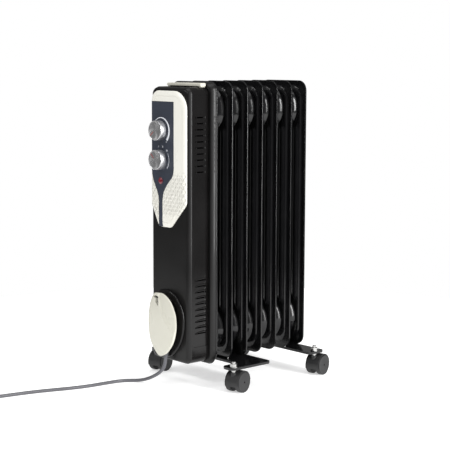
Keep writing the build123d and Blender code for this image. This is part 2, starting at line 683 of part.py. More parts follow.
def caster_parts():
    """Hood, axle and wheel pair about a stem at the origin, trailing to +Y."""
    axle_z = WHEEL_RADIUS
    across = Plane(origin=(0, 0, 0), x_dir=(0, 1, 0), z_dir=(1, 0, 0))
    centre = Pos(CASTER_TRAIL, axle_z)
    wall = 1.6
    bore = AXLE_RADIUS + 0.05

    def drum(radius, low, high):
        return extrude(across.offset(low) * centre * Circle(radius), high - low)

    half = HOOD_WIDTH / 2
    hood = drum(HOOD_RADIUS, -half, half) - drum(HOOD_RADIUS - wall, -half - 1, half + 1)
    hood += drum(HOOD_RADIUS - 1, -WEB_HALF, WEB_HALF)
    hood -= block((-20, 20), (-40, 80), (-30, axle_z - 7.5))
    hood -= block((-20, 20), (CASTER_TRAIL + 8, 80), (-30, axle_z + 2))
    hood += tube_z(0, 0, WEB_HALF, axle_z, HOOD_BOSS_TOP)
    hood -= tube_z(0, 0, 4.05, HOOD_BOSS_TOP - 14.1, HOOD_BOSS_TOP + 1)
    hood -= drum(AXLE_RADIUS, -half, half)

    axle = drum(AXLE_RADIUS, -half, half)
    wheels = []
    for side in (-1, 1):
        inner, outer = sorted((side * (WEB_HALF + 0.5), side * (WEB_HALF + 0.5 + WHEEL_WIDTH)))
        wheel = drum(WHEEL_RADIUS, inner, outer)
        wheel = fillet(wheel.edges(), 1.2)
        wheel -= drum(bore, -half - 5, half + 5)
        wheels.append(wheel.solid())
    return hood, axle, wheels


def build_casters():
    build_caster_fasteners()
    hood, axle, wheels = caster_parts()
    for name, (x, y) in CASTERS.items():
        place = Pos(x, y, 0) * Rot(0, 0, CASTER_SWIVEL)
        write(f"caster_hood_{name}", place * hood)
        write(f"caster_axle_{name}", place * axle)
        write(f"caster_wheels_{name}", [place * wheel for wheel in wheels])


build_fins()
build_hydraulics()
build_housing()
build_handle()
build_control_panel()
build_controls()
build_electrics()
build_winder()
build_cord()
build_plug()
build_feet()
build_casters()
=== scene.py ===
import math
import bmesh
import bpy
import numpy as np
from mathutils import Matrix, Vector


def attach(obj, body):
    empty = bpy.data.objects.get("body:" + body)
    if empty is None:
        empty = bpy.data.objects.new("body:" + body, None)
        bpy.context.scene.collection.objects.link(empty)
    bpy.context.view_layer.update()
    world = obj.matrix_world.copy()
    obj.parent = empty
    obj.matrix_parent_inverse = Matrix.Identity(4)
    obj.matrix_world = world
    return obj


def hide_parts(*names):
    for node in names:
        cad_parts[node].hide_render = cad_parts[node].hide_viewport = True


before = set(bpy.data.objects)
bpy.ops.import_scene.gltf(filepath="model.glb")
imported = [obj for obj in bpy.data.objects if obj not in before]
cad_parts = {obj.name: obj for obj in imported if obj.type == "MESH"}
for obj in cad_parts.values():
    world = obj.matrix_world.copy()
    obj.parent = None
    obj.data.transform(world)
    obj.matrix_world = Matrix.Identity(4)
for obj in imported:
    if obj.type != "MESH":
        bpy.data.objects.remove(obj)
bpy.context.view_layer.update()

# Sizes are millimetres in the row frame and are scaled once, when a mesh is made.
# Those of the camera, the floor and the lights are metres.
MM = 0.001
ROOT = "radiator"

FIN_COUNT = 7
FIN_PITCH = 42.5
FIRST_FIN_Y = -91.0
FIN_WIDTH = 141.0
FIN_HEIGHT = 580.0
FIN_CORNER = 22.0
FIN_BOTTOM = 53.5
RIM_HALF = 1.2
PANEL_HALF = 5.0
RIB_HALF = 9.0
RIB_X = 46.0
LOW_HUB_Z = FIN_BOTTOM + 60.0
HIGH_HUB_Z = FIN_BOTTOM + 522.0
FIN_MIDDLE = FIN_BOTTOM + FIN_HEIGHT / 2

BOX_FRONT_Y = -159.0
INLAY_Y = -162.0
CONTROL_X = -24.5
THERMOSTAT_Z = 534.0
SELECTOR_Z = 474.0
LAMP_Z = 430.5
KNOB_FACE_Y = INLAY_Y - 0.4 - 16.5
PRINT_FRONT_Y = INLAY_Y - 0.42
PRINT_BACK_Y = INLAY_Y - 0.2
COVER_FRONT_Y = -184.0
COVER_BACK_Y = -177.5
STRAP_HALF = 53.0
VENT_ROWS = 10
VENT_STEP = 12.3
VENT_Z = 450.0
LOUVRE_Z = 117.0
SIDE_PANEL_X = 58.3

CAMERA_PLACE = (2.08737, -1.88621, 0.69045)
CAMERA_YAW = 47.99
CAMERA_PITCH = 7.36
CAMERA_ROLL = 0.22
CAMERA_LENS = 106.23
FLOOR_RADIUS = 1.1
FLOOR_GLOW = 0.45
ROOM_LEVEL = 0.8
ROOM_LEVEL_REFLECTED = 0.22

CORNERS = ("front_left", "front_right", "rear_left", "rear_right")


# ---- camera -------------------------------------------------------------
def build_camera():
    """The viewing angle: from the front right, a little above the middle."""
    yaw = math.radians(CAMERA_YAW)
    pitch = math.radians(CAMERA_PITCH)
    roll = math.radians(CAMERA_ROLL)
    back = Vector((
        math.sin(yaw) * math.cos(pitch),
        -math.cos(yaw) * math.cos(pitch),
        math.sin(pitch),
    ))
    right = (-back).cross(Vector((0, 0, 1))).normalized()
    up = right.cross(-back)
    side = math.cos(roll) * right + math.sin(roll) * up
    top = -math.sin(roll) * right + math.cos(roll) * up
    data = bpy.data.cameras.new("camera")
    data.lens = CAMERA_LENS
    data.sensor_width = 36.0
    data.clip_end = 50
    camera = bpy.data.objects.new("camera", data)
    bpy.context.collection.objects.link(camera)
    matrix = Matrix((side, top, back)).transposed().to_4x4()
    matrix.translation = Vector(CAMERA_PLACE)
    camera.matrix_world = matrix
    bpy.context.scene.camera = camera


# ---- materials ----------------------------------------------------------
class Surface:
    """A principled material whose bump, colour and roughness come from position."""

    def __init__(self, name, color, roughness, metallic=0.0, coat=0.0, specular=0.5):
        self.material = bpy.data.materials.new(name)
        self.material.use_nodes = True
        self.tree = self.material.node_tree
        self.shader = self.tree.nodes["Principled BSDF"]
        self.shader.inputs["Base Color"].default_value = (*color, 1)
        self.shader.inputs["Roughness"].default_value = roughness
        self.shader.inputs["Metallic"].default_value = metallic
        self.shader.inputs["Coat Weight"].default_value = coat
        self.shader.inputs["Coat Roughness"].default_value = 0.06
        self.shader.inputs["Specular IOR Level"].default_value = specular
        self.place = self.add("ShaderNodeTexCoord").outputs["Object"]
        self.normal = None

    def add(self, kind, **values):
        node = self.tree.nodes.new(kind)
        for key, value in values.items():
            setattr(node, key, value)
        return node

    def join(self, source, target):
        self.tree.links.new(source, target)

    def noise(self, scale, detail):
        texture = self.add("ShaderNodeTexNoise")
        texture.inputs["Scale"].default_value = scale
        texture.inputs["Detail"].default_value = detail
        self.join(self.place, texture.inputs["Vector"])
        return texture.outputs["Fac"]

    def spread(self, value, low, high, start=0.3, stop=0.7):
        """Stretch start..stop of a value over low..high."""
        ramp = self.add("ShaderNodeMapRange")
        ramp.inputs["From Min"].default_value = start
        ramp.inputs["From Max"].default_value = stop
        ramp.inputs["To Min"].default_value = low
        ramp.inputs["To Max"].default_value = high
        self.join(value, ramp.inputs["Value"])
        return ramp.outputs["Result"]

    def vary_roughness(self, value, low, high):
        self.join(self.spread(value, low, high), self.shader.inputs["Roughness"])

    def vary_color(self, value, dark, light, start=0.3, stop=0.7):
        mix = self.add("ShaderNodeMix", data_type="RGBA")
        mix.inputs[6].default_value = (*dark, 1)
        mix.inputs[7].default_value = (*light, 1)
        self.join(self.spread(value, 0, 1, start, stop), mix.inputs["Factor"])
        self.join(mix.outputs[2], self.shader.inputs["Base Color"])

    def bump(self, height, strength, distance):
        node = self.add("ShaderNodeBump")
        node.inputs["Strength"].default_value = strength
        node.inputs["Distance"].default_value = distance
        self.join(height, node.inputs["Height"])
        if self.normal is not None:
            self.join(self.normal, node.inputs["Normal"])
        self.normal = node.outputs["Normal"]
        self.join(self.normal, self.shader.inputs["Normal"])


def gloss_paint(name, color, orange_peel=0.12, smoothest=0.12, specular=0.4):
    """Baked enamel: a clear, slightly rippled coat with faint handling haze."""
    surface = Surface(name, color, smoothest + 0.04, coat=0.08, specular=specular)
    surface.vary_roughness(surface.noise(14, 4), smoothest, smoothest + 0.12)
    surface.vary_color(surface.noise(9, 3), color, [c * 1.5 + 0.001 for c in color])
    surface.bump(surface.noise(260, 2), orange_peel, 0.0002)
    return surface.material


def moulded_plastic(name, color, roughness, grain):
    """Injection-moulded plastic: spark-eroded grain and a slow tone change."""
    surface = Surface(name, color, roughness)
    tone = surface.noise(6, 4)
    surface.vary_color(tone, color, [min(c * 1.12, 1) for c in color])
    surface.vary_roughness(surface.noise(30, 5), roughness - 0.06, roughness + 0.08)
    surface.bump(surface.noise(1100, 3), grain, 0.0002)
    return surface.material


def cream_with_dimples(name):
    """Cream moulding with rows of shallow dimples either side of the inlay's tail."""
    surface = Surface(name, (0.78, 0.765, 0.70), 0.3, coat=0.15)
    surface.vary_color(surface.noise(7, 4), (0.75, 0.735, 0.665), (0.79, 0.78, 0.72))
    surface.vary_roughness(surface.noise(25, 4), 0.24, 0.36)
    parts = surface.add("ShaderNodeSeparateXYZ")
    surface.join(surface.place, parts.inputs["Vector"])

    def wave(axis, period):
        scaled = surface.add("ShaderNodeMath", operation="MULTIPLY")
        scaled.inputs[1].default_value = 2 * math.pi / (period * MM)
        surface.join(parts.outputs[axis], scaled.inputs[0])
        sine = surface.add("ShaderNodeMath", operation="SINE")
        surface.join(scaled.outputs[0], sine.inputs[0])
        return sine.outputs[0]

    def product(first, second):
        node = surface.add("ShaderNodeMath", operation="MULTIPLY")
        surface.join(first, node.inputs[0])
        surface.join(second, node.inputs[1])
        return node.outputs[0]

    low = surface.spread(parts.outputs["Z"], 0, 1, 0.352, 0.368)
    high = surface.spread(parts.outputs["Z"], 1, 0, 0.438, 0.455)
    dimples = product(product(wave("X", 12.0), wave("Z", 16.0)), product(low, high))
    surface.bump(dimples, 1.0, 0.0018)
    surface.bump(surface.noise(900, 2), 0.05, 0.0002)
    return surface.material


def spun_aluminium(name):
    """Turned aluminium: fine rings, with the fan-shaped glints of radial brushing."""
    surface = Surface(name, (0.74, 0.74, 0.75), 0.26, metallic=1.0)
    surface.shader.inputs["Anisotropic"].default_value = 0.85
    tangent = surface.add("ShaderNodeTangent", direction_type="RADIAL", axis="Y")
    surface.join(tangent.outputs["Tangent"], surface.shader.inputs["Tangent"])
    surface.vary_color(surface.noise(60, 3), (0.70, 0.70, 0.71), (0.80, 0.80, 0.81))
    surface.vary_roughness(surface.noise(40, 2), 0.25, 0.28)
    return surface.material


def metal(name, color, low, high, scale=60):
    """Bare or plated metal whose roughness wanders between two values."""
    surface = Surface(name, color, low, metallic=1.0)
    surface.vary_roughness(surface.noise(scale, 5), low, high)
    surface.vary_color(surface.noise(scale * 2, 4), [c * 0.8 for c in color], color)
    surface.bump(surface.noise(700, 3), 0.08, 0.0001)
    return surface.material


def red_lens(name):
    """Deep red, glossy plastic of the signal lens."""
    surface = Surface(name, (0.15, 0.002, 0.012), 0.2, coat=0.4)
    surface.vary_color(surface.noise(500, 2), (0.11, 0.001, 0.008), (0.20, 0.004, 0.02))
    return surface.material


MATERIALS = {
    "fin": gloss_paint("fin_enamel", (0.0034, 0.0034, 0.0038), 0.04),
    "box": gloss_paint("box_enamel", (0.0034, 0.0031, 0.0031), 0.04, 0.16, 0.24),
    "satin": gloss_paint("satin_enamel", (0.0036, 0.0034, 0.0034), 0.04, 0.28, 0.22),
    "cream": cream_with_dimples("cream_bezel"),
    # painted shade: a darker copy of the bezel's cream, darkened so that the winder cover, which catches
    # more light bounced off the floor, comes out no paler than the bezel; the grip strap and its feet
    # use it too
    "plain_cream": moulded_plastic("cream_plastic", (0.53, 0.52, 0.45), 0.3, 0.06),
    "inlay": moulded_plastic("inlay_grey", (0.026, 0.032, 0.048), 0.36, 0.12),
    "spun": spun_aluminium("spun_aluminium"),
    "silver": metal("knob_silver", (0.80, 0.80, 0.82), 0.34, 0.42, 25),
    "zinc": metal("zinc_plate", (0.50, 0.50, 0.49), 0.14, 0.3),
    "nickel": metal("nickel_plate", (0.66, 0.64, 0.60), 0.12, 0.25),
    "caster": moulded_plastic("caster_plastic", (0.009, 0.009, 0.0095), 0.5, 0.35),
    "vinyl": moulded_plastic("cord_vinyl", (0.085, 0.085, 0.095), 0.42, 0.1),
    "inside": moulded_plastic("inner_plastic", (0.30, 0.29, 0.27), 0.5, 0.1),
    # matte near-black; the collar's vent squares use it as painted shade
    "dark": moulded_plastic("dark_recess", (0.004, 0.004, 0.004), 0.6, 0.1),
    "print": moulded_plastic("white_print", (0.72, 0.74, 0.78), 0.45, 0.03),
    "pointer": moulded_plastic("red_print", (0.30, 0.022, 0.016), 0.45, 0.03),
    "lens": red_lens("signal_lens"),
}


# ---- mesh helpers -------------------------------------------------------
def piece(name, points, faces, material, slot, body=ROOT, smooth=35):
    """A mesh in millimetres becomes an object that rides on a body."""
    mesh = bpy.data.meshes.new(name)
    mesh.from_pydata([tuple(c * MM for c in p) for p in points], [], faces)
    mesh.validate()
    mesh.materials.append(MATERIALS[material])
    tidy = bmesh.new()
    tidy.from_mesh(mesh)
    bmesh.ops.recalc_face_normals(tidy, faces=tidy.faces)
    tidy.to_mesh(mesh)
    tidy.free()
    mesh.shade_smooth()
    mesh.set_sharp_from_angle(angle=math.radians(smooth))
    made = bpy.data.objects.new(name, mesh)
    bpy.context.collection.objects.link(made)
    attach(made, body)
    return made


def bevel(made, width, segments=3):
    """Round an object's sharp edges."""
    modifier = made.modifiers.new("edges", "BEVEL")
    modifier.width = width * MM
    modifier.segments = segments
    modifier.limit_method = "ANGLE"
    modifier.angle_limit = math.radians(35)
    return made


def cut(made, tools):
    """Subtract closed tool meshes for good, then throw the tools away."""
    for tool in tools:
        modifier = made.modifiers.new("cut", "BOOLEAN")
        modifier.operation = "DIFFERENCE"
        modifier.solver = "EXACT"
        modifier.object = tool
        bpy.context.view_layer.objects.active = made
        bpy.ops.object.modifier_apply(modifier=modifier.name)
        bpy.data.objects.remove(tool)
    made.data.shade_smooth()
    made.data.set_sharp_from_angle(angle=math.radians(35))
    return made


def band_faces(rings, count, closed=False):
    """Faces between rings of count points; closed also joins the last ring to the first."""
    faces = []
    for ring in range(rings if closed else rings - 1):
        low, high = ring * count, (ring + 1) % rings * count
        for here in range(count):
            after = (here + 1) % count
            faces.append((low + here, low + after, high + after, high + here))
    return faces


def tube_faces(rings, count):
    """Faces between rings of count points, with a face on either end."""
    first = tuple(range(count))
    last = tuple(range((rings - 1) * count, rings * count))
    return [first] + band_faces(rings, count) + [last]


def prism(outline, front, back):
    """Points and faces of a front-view outline drawn out between two depths."""
    count = len(outline)
    points = [(x, front, z) for x, z in outline] + [(x, back, z) for x, z in outline]
    ends = [tuple(range(count)), tuple(range(2 * count - 1, count - 1, -1))]
    return points, ends + band_faces(2, count)


def arc(centre, radius, start, stop, steps=12):
    """Points on an arc in the front view, in degrees anticlockwise from +X."""
    angles = np.radians(np.linspace(start, stop, steps + 1))
    return [(centre[0] + radius * math.cos(a), centre[1] + radius * math.sin(a)) for a in angles]


def through(points, steps):
    """A smooth curve through a few front-view points."""
    knots = [Vector(p) for p in points]
    knots = [2 * knots[0] - knots[1]] + knots + [2 * knots[-1] - knots[-2]]
    curve = []
    for a, b, c, d in zip(knots, knots[1:], knots[2:], knots[3:]):
        for step in range(steps):
            t = step / steps
            curve.append(tuple(0.5 * (
                2 * b + (c - a) * t + (2 * a - 5 * b + 4 * c - d) * t ** 2
                + (3 * b - a - 3 * c + d) * t ** 3
            )))
    return curve + [tuple(knots[-2])]


def rounded_rectangle(side, low, high, corner):
    """A front-view rectangle with round corners, centred on X = 0."""
    outline = arc((-side + corner, high - corner), corner, 180, 90, 10)
    outline += arc((side - corner, high - corner), corner, 90, 0, 10)
    outline += arc((side - corner, low + corner), corner, 0, -90, 10)
    outline += arc((-side + corner, low + corner), corner, -90, -180, 10)
    return outline


def inset(outline, amount):
    """The outline moved inward along its corner normals."""
    centre = np.mean(outline, axis=0)
    moved = []
    count = len(outline)
    for index in range(count):
        before, here, after = (np.array(outline[(index + k) % count]) for k in (-1, 0, 1))
        first = (here - before) / np.linalg.norm(here - before)
        second = (after - here) / np.linalg.norm(after - here)
        normal = np.array([-(first + second)[1], (first + second)[0]])
        normal /= np.linalg.norm(normal)
        if normal @ (centre - here) < 0:
            normal = -normal
        cosine = abs(normal @ np.array([-first[1], first[0]]))
        moved.append(tuple(here + normal * amount / max(cosine, 0.5)))
    return moved


def stepped_plate(name, outline, rings, back, material, slot):
    """A plate whose front is a stack of inset rings: (inset, depth) pairs from the rim in."""
    count = len(outline)
    points = [(x, back, z) for x, z in outline]
    for amount, y in rings:
        points += [(x, y, z) for x, z in inset(outline, amount)]
    return piece(name, points, tube_faces(len(rings) + 1, count), material, slot)


def lathe(profile, centre, segments=64):
    """Revolve (radius, y) pairs about a front-to-back axis through centre (x, z)."""
    points = []
    for radius, y in profile:
        for index in range(segments):
            angle = 2 * math.pi * index / segments
            points.append((
                centre[0] + radius * math.cos(angle), y, centre[1] + radius * math.sin(angle)
            ))
    return points, tube_faces(len(profile), segments)


def merge(parts):
    """Join several (points, faces) pairs into one."""
    points, faces = [], []
    for part_points, part_faces in parts:
        base = len(points)
        points += list(part_points)
        faces += [tuple(index + base for index in face) for face in part_faces]
    return points, faces


# ---- cord ---------------------------------------------------------------
CORD_REST_Z = 3.6
CORD_ROUTE = [
    (1.0, -171.0, 68.5),
    (0.3, -171.0, 52.0),
    (-7.0, -173.0, 36.5),
    (-24.0, -177.0, 23.0),
    (-46.0, -181.0, 12.0),
    (-68.0, -185.0, 5.0),
    (-85.5, -196.7, CORD_REST_Z),
    (-97.0, -214.5, CORD_REST_Z),
    (-101.5, -250.0, CORD_REST_Z),
    (-104.5, -290.0, CORD_REST_Z),
    (-114.0, -330.0, CORD_REST_Z),
    (-128.0, -368.0, CORD_REST_Z),
    (-140.0, -406.0, CORD_REST_Z),
    (-148.0, -444.0, CORD_REST_Z),
    (-155.0, -480.0, CORD_REST_Z),
]
COIL_CENTRE = (-202.3, -506.2)
COIL_RADII = (41.3, 34.3)
TURN_POINTS = 14


def coil_points():
    """Turns side by side on the floor, then a second layer on top of them."""
    start = math.radians(-10.5)
    points = []
    turns = 4.4
    count = int(turns * TURN_POINTS)
    for index in range(count + 1):
        turn = index / TURN_POINTS
        angle = start - 2 * math.pi * turn
        layer = min(max(turn - 1.85, 0) / 0.3, 1)
        inner = min(max(turn - 0.85, 0) / 0.3, 1) - min(max(turn - 2.85, 0) / 0.3, 1)
        radius = COIL_RADII[0] + (COIL_RADII[1] - COIL_RADII[0]) * inner
        z = CORD_REST_Z + 7.2 * layer
        points.append((
            COIL_CENTRE[0] + radius * math.cos(angle),
            COIL_CENTRE[1] + radius * math.sin(angle),
            z,
        ))
    return points


def build_cord():
    """The mains lead, from the strain relief over the floor to its coil and plug."""
    route = CORD_ROUTE + coil_points()
    data = bpy.data.curves.new("power_cord_line", "CURVE")
    data.dimensions = "3D"
    data.bevel_depth = 3.5 * MM
    data.bevel_resolution = 6
    data.resolution_u = 8
    spline = data.splines.new("NURBS")
    spline.points.add(len(route) - 1)
    for point, place in zip(spline.points, route):
        point.co = (*(c * MM for c in place), 1)
    spline.order_u = 3
    spline.use_endpoint_u = True
    data.materials.append(MATERIALS["vinyl"])
    cord = bpy.data.objects.new("power_cord_line", data)
    bpy.context.collection.objects.link(cord)
    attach(cord, ROOT)
    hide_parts("power_cord", "cord_coil")
    plug = build_plug()


def build_plug():
    """Round-pin plug: a waisted grip with finger ridges and a ribbed tail."""
    x0, y0 = COIL_CENTRE
    z0 = 27.2
    profile = [
        (-17, 17.5, 11.5), (-15, 18, 12), (-5, 18, 12), (3, 15.5, 11),
        (10, 15, 10.5), (15, 13, 9), (18, 8, 7.5),
    ]
    tail = [
        (20, 6.5), (24, 6.5), (24.3, 5.4), (27, 5.4), (27.3, 6.0), (30.5, 6.0), (31, 4.2), (34, 4),
    ]
    rings = [(y, w, h, 3.2) for y, w, h in profile] + [(y, r, r, 2.0) for y, r in tail]
    points = []
    segments = 40
    for y, width, height, power in rings:
        for index in range(segments):
            angle = 2 * math.pi * index / segments
            c, s = math.cos(angle), math.sin(angle)
            points.append((
                x0 + width * math.copysign(abs(c) ** (2 / power), c),
                y0 + y,
                z0 + height * math.copysign(abs(s) ** (2 / power), s),
            ))
    plug = piece("mains_plug", points, tube_faces(len(rings), segments), "vinyl", "cord_grey")
    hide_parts("plug_body")
    return plug


def build_gland():
    """Moulded strain relief: a tapered sleeve with grooves round it."""
    top = Vector((2.0, -171.0, 92.0))
    end = Vector((1.0, -171.0, 66.5))
    along = (end - top).normalized()
    across = along.cross(Vector((0, 1, 0))).normalized()
    other = along.cross(across)
    length = (end - top).length
    points = []
    segments = 28
    rows = []
    for index in range(6):
        start = length * (0.12 + 0.145 * index)
        radius = 6.0 - 1.5 * index / 6
        rows += [
            (start, radius), (start + 2.5, radius - 0.1),
            (start + 2.6, radius - 0.9), (start + 3.4, radius - 0.9),
        ]
    rows = [(0, 6.4), (length * 0.11, 6.3)] + rows + [(length, 4.1)]
    for distance, radius in rows:
        for index in range(segments):
            angle = 2 * math.pi * index / segments
            outward = math.cos(angle) * across + math.sin(angle) * other
            points.append(tuple(top + along * distance + radius * outward))
    faces = tube_faces(len(rows), segments)
    sleeve = piece("strain_relief", points, faces, "vinyl", "cord_grey")
    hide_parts("cord_gland")


# ---- fins ---------------------------------------------------------------
def ease(value):
    """A smooth step from 0 to 1."""
    value = np.clip(value, 0, 1)
    return value * value * (3 - 2 * value)


def rounded_distance(x, z, half_width, half_height, corner):
    """Distance outside a rounded rectangle, negative inside it."""
    dx = np.abs(x) - half_width + corner
    dz = np.abs(z) - half_height + corner
    outside = np.hypot(np.maximum(dx, 0), np.maximum(dz, 0))
    return outside + np.minimum(np.maximum(dx, dz), 0) - corner


def pressing(x, z, closed):
    """How far a pressed fin stands out from its middle plane at each point."""
    hub_middle = (LOW_HUB_Z + HIGH_HUB_Z) / 2
    panel = rounded_distance(x, z - FIN_MIDDLE, 60.0, 276.0, 28.0)
    height = RIM_HALF + (PANEL_HALF - RIM_HALF) * ease(-panel / 4.5)
    for rib_x in (-RIB_X, RIB_X):
        rib = rounded_distance(x - rib_x, z - hub_middle, 8.5, 192.0, 8.4)
        height = height + (RIB_HALF - PANEL_HALF) * ease(-rib / 5.0)
    channel = rounded_distance(x, z - hub_middle, 21.5, 231.0, 21.4)
    rise = (RIB_HALF - PANEL_HALF) * ease(-channel / 5.0)
    for hub_z in (LOW_HUB_Z, HIGH_HUB_Z):
        radius = np.hypot(x, z - hub_z)
        cone = 4.0 * ease((46.0 - radius) / 10.0)
        if closed:
            cone = 8.0 * ease((46.0 - radius) / 22.0)
        rise = np.maximum(rise, cone)
    return height + rise


def fin_shell(y, rear_closed):
    """Both pressed faces of a fin and the rounded edge that joins them."""
    columns = np.linspace(-1, 1, 65)
    ends = FIN_CORNER * (1 - np.cos(np.linspace(0, math.pi / 2, 8)))
    middle = np.linspace(FIN_CORNER, FIN_HEIGHT - FIN_CORNER, 190)[1:-1]
    rows = np.concatenate([ends, middle, FIN_HEIGHT - ends[::-1]])
    depth = np.minimum(np.minimum(rows, FIN_HEIGHT - rows), FIN_CORNER)
    shrink = FIN_CORNER - np.sqrt(FIN_CORNER ** 2 - (FIN_CORNER - depth) ** 2)
    half = FIN_WIDTH / 2 - shrink
    x = half[:, None] * columns[None, :]
    z = FIN_BOTTOM + np.repeat(rows[:, None], len(columns), axis=1)
    points, faces = [], []
    row_count, column_count = x.shape
    for sign, closed in ((-1, False), (1, rear_closed)):
        depth_y = y + sign * pressing(x, z, closed)
        base = len(points)
        points += list(zip(x.ravel(), depth_y.ravel(), z.ravel()))
        for r in range(row_count - 1):
            for c in range(column_count - 1):
                corner = base + r * column_count + c
                faces.append((corner, corner + 1, corner + column_count + 1, corner + column_count))
    edge = [row * column_count for row in range(row_count)]
    edge += [(row_count - 1) * column_count + column for column in range(1, column_count)]
    edge += [row * column_count + column_count - 1 for row in range(row_count - 2, -1, -1)]
    edge += list(range(column_count - 2, 0, -1))
    rear = row_count * column_count
    for here, after in zip(edge, edge[1:] + edge[:1]):
        faces.append((here, after, rear + after, rear + here))
    return points, faces, x, z


def rim_bead(y, x, z):
    """The rolled edge all round a fin."""
    left = list(zip(x[:, 0], z[:, 0]))
    right = list(zip(x[:, -1], z[:, -1]))[::-1]
    top = list(zip(x[-1, 1:-1], z[-1, 1:-1]))
    bottom = list(zip(x[0, 1:-1], z[0, 1:-1]))[::-1]
    outline = left + top + right + bottom
    rolls = [
        (2.2, -RIM_HALF + 0.3), (1.8, -RIM_HALF - 0.35), (0.0, -RIM_HALF - 0.35),
        (-0.35, -RIM_HALF * 0.55), (-0.4, 0), (-0.35, RIM_HALF * 0.55),
        (0.0, RIM_HALF + 0.35), (1.8, RIM_HALF + 0.35), (2.2, RIM_HALF - 0.3),
    ]
    points = []
    for amount, offset_y in rolls:
        for px, pz in inset(outline, amount + 0.4):
            points.append((px, y + offset_y, pz))
    return points, band_faces(len(rolls), len(outline), closed=True)


def hub_link(y, hub_z, joined):
    """A drum on a fin's hub that narrows to the welded waist, and its twin on the fin before."""
    drum = [
        (47.0, 6.6), (46.2, 8.4), (43.2, 15.2), (42.2, 16.0), (40.6, 16.6), (36.0, 17.2),
        (32.5, 17.8), (30.3, 18.4), (30.0, FIN_PITCH / 2),
    ]
    profile = [(20.0, y - 4.0), (48.5, y - 4.4)]
    profile += [(radius, y - height) for radius, height in drum]
    if joined:
        before = y - FIN_PITCH
        profile += [(radius, before + height) for radius, height in reversed(drum[:-1])]
        profile += [(48.5, before + 4.4), (20.0, before + 4.0)]
    else:
        profile += [(20.0, y - FIN_PITCH / 2)]
    return lathe(profile, (0, hub_z), 72)


def build_fins():
    """The seven pressed fins and the drums that join their hubs."""
    links = []
    for index in range(FIN_COUNT):
        y = FIRST_FIN_Y + FIN_PITCH * index
        last = index == FIN_COUNT - 1
        points, faces, x, z = fin_shell(y, last)
        parts = [(points, faces), rim_bead(y, x, z)]
        made = piece(f"pressed_fin_{index + 1}", *merge(parts), "fin", "radiator_black", smooth=50)
        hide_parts(f"fin_{index + 1}")
        for hub_z in (LOW_HUB_Z, HIGH_HUB_Z):
            links.append(hub_link(y, hub_z, index > 0))
    made = piece("hub_drums", *merge(links), "fin", "radiator_black", smooth=50)
    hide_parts("hub_links")


# ---- control panel ------------------------------------------------------
def bezel_outline():
    """Front view of the bezel, drawn in to a rounded point at its foot."""
    left, right, top = -55.5, 55.0, 615.0
    outline = arc((left + 22, top - 22), 22, 180, 90)
    outline += arc((right - 38, top - 38), 38, 90, 0)
    outline += arc((right - 17, 393), 17, 0, -44, 6)
    outline += arc((0.0, 351), 16, -46, -90, 6)
    outline += arc((-22.5, 351), 16, -90, -145, 6)
    outline += [(left, 371 + 8), (left, 480)]
    return outline


def inlay_outline():
    """Front view of the dark inlay: a broad field with a narrow tail."""
    left, right, top, bottom = -53.5, 17.5, 593.0, 336.0
    tail_left, tail_right = CONTROL_X - 6.5, CONTROL_X + 6.0
    right_bend = through([
        (right, 470), (right, 455), (CONTROL_X + 38, 441), (CONTROL_X + 22, 424),
        (CONTROL_X + 9.5, 406), (tail_right, 386), (tail_right, 370),
    ], steps=5)
    left_bend = through([
        (tail_left, 370), (tail_left, 390), (CONTROL_X - 9.5, 404), (CONTROL_X - 18, 420),
        (left + 3, 436), (left, 452), (left, 470),
    ], steps=5)
    head = [(left, top), (right, top)]
    tail = [(tail_right, bottom), (tail_left, bottom)]
    return head + right_bend + tail + left_bend


def build_panel():
    """The grooved bezel and the inlay that lies in its recess."""
    rings = [
        (0, -160.2), (0.5, -161.0), (1.4, -161.5), (8.6, -162.9), (9.4, -163.0), (10.2, -162.2),
        (11.2, -162.2), (12.0, -162.9), (12.4, -163.0),
    ]
    bezel = stepped_plate("bezel", bezel_outline(), rings, BOX_FRONT_Y, "cream", "cream_plastic")
    tool = piece("tool", *prism(inset(inlay_outline(), -0.25), -170, -160.4), "dark", "box_black")
    cut(bezel, [tool])
    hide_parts("control_bezel")
    inlay = piece("inlay", *prism(inlay_outline(), INLAY_Y - 0.3, -160.4), "inlay", "inlay_grey")
    bevel(inlay, 0.35, 2)
    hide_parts("control_insert")


def build_lamp():
    """The domed red lens and the thin collar round it."""
    profile = [
        (6.9, INLAY_Y + 1), (6.9, INLAY_Y - 1.0), (6.5, INLAY_Y - 1.5), (5.4, INLAY_Y - 2.3),
        (3.8, INLAY_Y - 3.0), (1.9, INLAY_Y - 3.4), (0.3, INLAY_Y - 3.5),
    ]
    centre = (CONTROL_X, LAMP_Z)
    lens = piece("signal_lens", *lathe(profile, centre, 40), "lens", "lens_red", smooth=60)
    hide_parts("indicator_lens")
    collar = [
        (7.9, INLAY_Y), (7.9, INLAY_Y - 0.7), (7.4, INLAY_Y - 1.0), (6.9, INLAY_Y - 1.0),
        (6.9, INLAY_Y),
    ]
    piece("lens_collar", *lathe(collar, centre, 40), "inlay", "inlay_grey")


